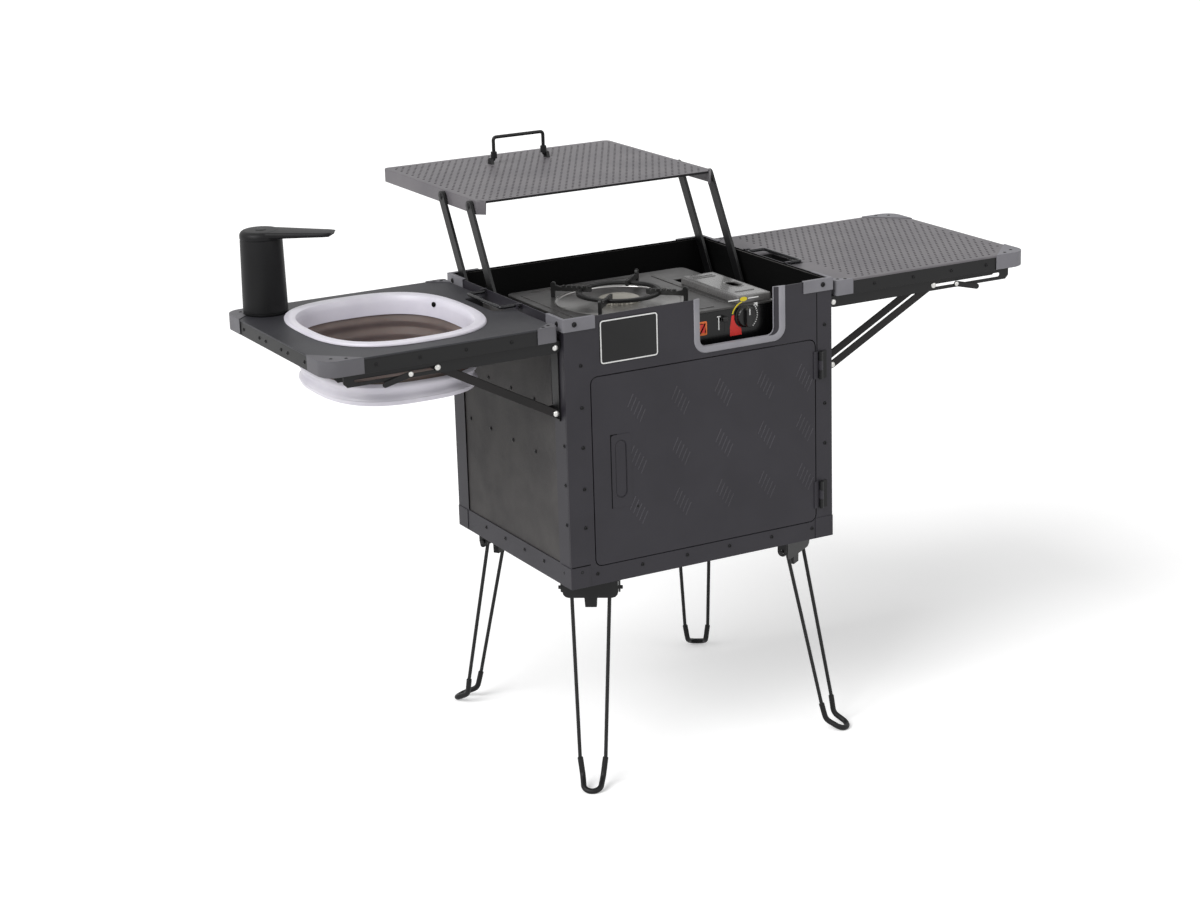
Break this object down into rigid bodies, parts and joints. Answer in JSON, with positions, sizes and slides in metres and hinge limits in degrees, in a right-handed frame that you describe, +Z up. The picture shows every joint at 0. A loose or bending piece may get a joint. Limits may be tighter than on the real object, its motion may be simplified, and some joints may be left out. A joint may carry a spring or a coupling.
{
  "type": "camp kitchen chuck box",
  "caption": "Camping kitchen box on folding wire legs, with a lift-up lid, a cassette stove, folding side boards and a collapsing basin with a tap.",
  "frame": {"origin": "centre of the overall box at floor level, with the lid raised and the boards open", "axes": "+X to the right board seen from the door, +Y to the back, +Z up"},
  "size_m": [1.253, 0.7239, 0.9254],
  "materials": {
    "charcoal_sheet": "powder coated aluminium sheet, fine matt",
    "side_sheet": "textured coated aluminium panel",
    "black_sheet": "black powder coated aluminium sheet",
    "black_steel": "black powder coat",
    "grey_cap": "moulded grey nylon",
    "lid_sheet": "grey powder coated aluminium",
    "slate_board": "dark slate powder coated aluminium",
    "dotted_board": "grey powder coated aluminium with pressed dots",
    "white_plastic": "moulded polypropylene",
    "grey_silicone": "soft moulded silicone",
    "stove_enamel": "black stove enamel",
    "cast_iron": "black enamelled iron",
    "black_plastic": "moulded, fine grain",
    "zinc_steel": "zinc plated strip"
  },
  "bodies": {
    "chassis": {"chassis_frame": "charcoal_sheet", "front_panel": "charcoal_sheet", "back_panel": "side_sheet", "left_panel": "side_sheet", "right_panel": "side_sheet", "base_tray": "black_sheet", "stove_shelf": "black_sheet", "top_cap_fl": "grey_cap", "top_cap_fr": "grey_cap", "top_cap_bl": "grey_cap", "top_cap_br": "grey_cap", "hinge_upper": "black_steel", "hinge_lower": "black_steel", "bracket_rail_lf": "black_steel", "bracket_rail_lb": "black_steel", "bracket_rail_rf": "black_steel", "bracket_rail_rb": "black_steel", "leg_bracket_fl": "black_steel", "leg_bracket_fr": "black_steel", "leg_bracket_bl": "black_steel", "leg_bracket_br": "black_steel", "stove_body": "stove_enamel", "stove_pan_support": "cast_iron"},
    "door": {"door": "charcoal_sheet"},
    "door_pull": {"door_pull": "charcoal_sheet"},
    "lid": {"lid": "lid_sheet"},
    "lid_handle": {"lid_handle": "black_steel"},
    "left_board": {"left_board": "slate_board", "bracket_arm_lf": "black_steel", "bracket_arm_lb": "black_steel", "basin_rim": "white_plastic", "basin_wall": "grey_silicone", "faucet_body": "black_plastic"},
    "right_board": {"right_board": "dotted_board", "bracket_arm_rf": "black_steel", "bracket_arm_rb": "black_steel"},
    "basin_floor": {"basin_floor": "white_plastic"},
    "faucet_spout": {"faucet_spout": "black_plastic"},
    "stove_can_lid": {"stove_can_lid": "stove_enamel"},
    "stove_knob": {"stove_knob": "black_plastic"},
    "stove_lock_lever": {"stove_lock_lever": "black_plastic"},
    "side_handle_l": {"side_handle_l": "black_steel"},
    "side_handle_r": {"side_handle_r": "black_steel"},
    "link_bar_lf": {"link_bar_lf": "black_steel"},
    "bracket_strut_lf": {"bracket_strut_lf": "zinc_steel"},
    "bracket_lever_lf": {"bracket_lever_lf": "zinc_steel"},
    "link_bar_lb": {"link_bar_lb": "black_steel"},
    "bracket_strut_lb": {"bracket_strut_lb": "zinc_steel"},
    "bracket_lever_lb": {"bracket_lever_lb": "zinc_steel"},
    "link_bar_rf": {"link_bar_rf": "black_steel"},
    "bracket_strut_rf": {"bracket_strut_rf": "zinc_steel"},
    "bracket_lever_rf": {"bracket_lever_rf": "zinc_steel"},
    "link_bar_rb": {"link_bar_rb": "black_steel"},
    "bracket_strut_rb": {"bracket_strut_rb": "zinc_steel"},
    "bracket_lever_rb": {"bracket_lever_rb": "zinc_steel"},
    "leg_fl": {"leg_fl": "black_steel"},
    "leg_fr": {"leg_fr": "black_steel"},
    "leg_bl": {"leg_bl": "black_steel"},
    "leg_br": {"leg_br": "black_steel"}
  },
  "joints": [
    {"name": "door_hinge", "type": "hinge", "parent": "chassis", "child": "door", "pos_m": [0.217, -0.31794, 0.505], "axis": [0, 0, 1], "range_deg": [0, 105]},
    {"name": "door_pull_flip", "type": "hinge", "parent": "door", "child": "door_pull", "pos_m": [-0.139, -0.31399, 0.504], "axis": [0, 0, 1], "range_deg": [0, 60]},
    {"name": "lid_lift", "type": "hinge", "parent": "chassis", "child": "link_bar_lf", "pos_m": [-0.2232, -0.07619, 0.6883], "axis": [1, 0, 0], "range_deg": [0, 104]},
    {"name": "link_lb", "type": "hinge", "parent": "chassis", "child": "link_bar_lb", "pos_m": [-0.2232, 0.02381, 0.6883], "axis": [1, 0, 0], "range_deg": [0, 104]},
    {"name": "link_rf", "type": "hinge", "parent": "chassis", "child": "link_bar_rf", "pos_m": [0.2232, -0.07619, 0.6883], "axis": [1, 0, 0], "range_deg": [0, 104]},
    {"name": "link_rb", "type": "hinge", "parent": "chassis", "child": "link_bar_rb", "pos_m": [0.2232, 0.02381, 0.6883], "axis": [1, 0, 0], "range_deg": [0, 104]},
    {"name": "lid_level", "type": "hinge", "parent": "link_bar_lf", "child": "lid", "pos_m": [-0.2232, 0.02319, 0.8676], "axis": [1, 0, 0], "range_deg": [-104, 0]},
    {"name": "lid_handle_fold", "type": "hinge", "parent": "lid", "child": "lid_handle", "pos_m": [0, 0.28101, 0.8825], "axis": [1, 0, 0], "range_deg": [-88, 0]},
    {"name": "left_board_fold", "type": "hinge", "parent": "chassis", "child": "left_board", "pos_m": [-0.25, -0.11899, 0.7085], "axis": [0, -1, 0], "range_deg": [0, 90]},
    {"name": "side_handle_l_lift", "type": "hinge", "parent": "chassis", "child": "side_handle_l", "pos_m": [-0.2445, -0.11899, 0.748], "axis": [0, 1, 0], "range_deg": [0, 95]},
    {"name": "strut_lf", "type": "hinge", "parent": "chassis", "child": "bracket_strut_lf", "pos_m": [-0.25, -0.28549, 0.605], "axis": [0, -1, 0], "range_deg": [0, 117.99]},
    {"name": "lever_lf", "type": "hinge", "parent": "left_board", "child": "bracket_lever_lf", "pos_m": [-0.489, -0.28549, 0.7055], "axis": [0, 1, 0], "range_deg": [0, 12]},
    {"name": "strut_lb", "type": "hinge", "parent": "chassis", "child": "bracket_strut_lb", "pos_m": [-0.25, 0.04751, 0.605], "axis": [0, -1, 0], "range_deg": [0, 117.99]},
    {"name": "lever_lb", "type": "hinge", "parent": "left_board", "child": "bracket_lever_lb", "pos_m": [-0.489, 0.04751, 0.7055], "axis": [0, 1, 0], "range_deg": [0, 12]},
    {"name": "right_board_fold", "type": "hinge", "parent": "chassis", "child": "right_board", "pos_m": [0.25, -0.11899, 0.7085], "axis": [0, 1, 0], "range_deg": [0, 90]},
    {"name": "side_handle_r_lift", "type": "hinge", "parent": "chassis", "child": "side_handle_r", "pos_m": [0.2445, -0.11899, 0.748], "axis": [0, -1, 0], "range_deg": [0, 95]},
    {"name": "strut_rf", "type": "hinge", "parent": "chassis", "child": "bracket_strut_rf", "pos_m": [0.25, -0.28549, 0.605], "axis": [0, 1, 0], "range_deg": [0, 117.99]},
    {"name": "lever_rf", "type": "hinge", "parent": "right_board", "child": "bracket_lever_rf", "pos_m": [0.489, -0.28549, 0.7055], "axis": [0, -1, 0], "range_deg": [0, 12]},
    {"name": "strut_rb", "type": "hinge", "parent": "chassis", "child": "bracket_strut_rb", "pos_m": [0.25, 0.04751, 0.605], "axis": [0, 1, 0], "range_deg": [0, 117.99]},
    {"name": "lever_rb", "type": "hinge", "parent": "right_board", "child": "bracket_lever_rb", "pos_m": [0.489, 0.04751, 0.7055], "axis": [0, -1, 0], "range_deg": [0, 12]},
    {"name": "basin_collapse", "type": "slide", "parent": "left_board", "child": "basin_floor", "axis": [0, 0, 1], "range_m": [0, 0.056], "deforming": ["basin_wall"]},
    {"name": "faucet_swivel", "type": "hinge", "parent": "left_board", "child": "faucet_spout", "pos_m": [-0.5745, 0.03351, 0.86], "axis": [0, 0, 1], "range_deg": [-90, 90]},
    {"name": "can_lid_hinge", "type": "hinge", "parent": "chassis", "child": "stove_can_lid", "pos_m": [0.085, -0.19599, 0.736], "axis": [0, 1, 0], "range_deg": [-100, 0]},
    {"name": "stove_knob_turn", "type": "hinge", "parent": "chassis", "child": "stove_knob", "pos_m": [0.0928, -0.29099, 0.706], "axis": [0, 1, 0], "range_deg": [0, 95]},
    {"name": "can_lock_slide", "type": "slide", "parent": "chassis", "child": "stove_lock_lever", "axis": [0, 0, -1], "range_m": [0, 0.012]},
    {"name": "leg_fl_fold", "type": "hinge", "parent": "chassis", "child": "leg_fl", "pos_m": [-0.1886, -0.27849, 0.309], "axis": [0.8387, -0.5446, 0], "range_deg": [0, 102]},
    {"name": "leg_fr_fold", "type": "hinge", "parent": "chassis", "child": "leg_fr", "pos_m": [0.1886, -0.27849, 0.309], "axis": [0.8387, 0.5446, 0], "range_deg": [0, 102]},
    {"name": "leg_bl_fold", "type": "hinge", "parent": "chassis", "child": "leg_bl", "pos_m": [-0.1886, 0.04051, 0.309], "axis": [-0.8387, -0.5446, 0], "range_deg": [0, 98]},
    {"name": "leg_br_fold", "type": "hinge", "parent": "chassis", "child": "leg_br", "pos_m": [0.1886, 0.04051, 0.309], "axis": [-0.8387, 0.5446, 0], "range_deg": [0, 98]}
  ],
  "couplings": [
    {"joint": "link_lb", "follows": "lid_lift", "ratio": 1},
    {"joint": "link_rf", "follows": "lid_lift", "ratio": 1},
    {"joint": "link_rb", "follows": "lid_lift", "ratio": 1},
    {"joint": "lid_level", "follows": "lid_lift", "ratio": -1},
    {"joint": "strut_lf", "follows": "left_board_fold", "ratio": 1.3111},
    {"joint": "lever_lf", "follows": "left_board_fold", "ratio": 0.13333},
    {"joint": "strut_lb", "follows": "left_board_fold", "ratio": 1.3111},
    {"joint": "lever_lb", "follows": "left_board_fold", "ratio": 0.13333},
    {"joint": "strut_rf", "follows": "right_board_fold", "ratio": 1.3111},
    {"joint": "lever_rf", "follows": "right_board_fold", "ratio": 0.13333},
    {"joint": "strut_rb", "follows": "right_board_fold", "ratio": 1.3111},
    {"joint": "lever_rb", "follows": "right_board_fold", "ratio": 0.13333},
    {"joint": "basin_collapse", "follows": "left_board_fold", "m_per_rad": 0.035651}
  ]
}
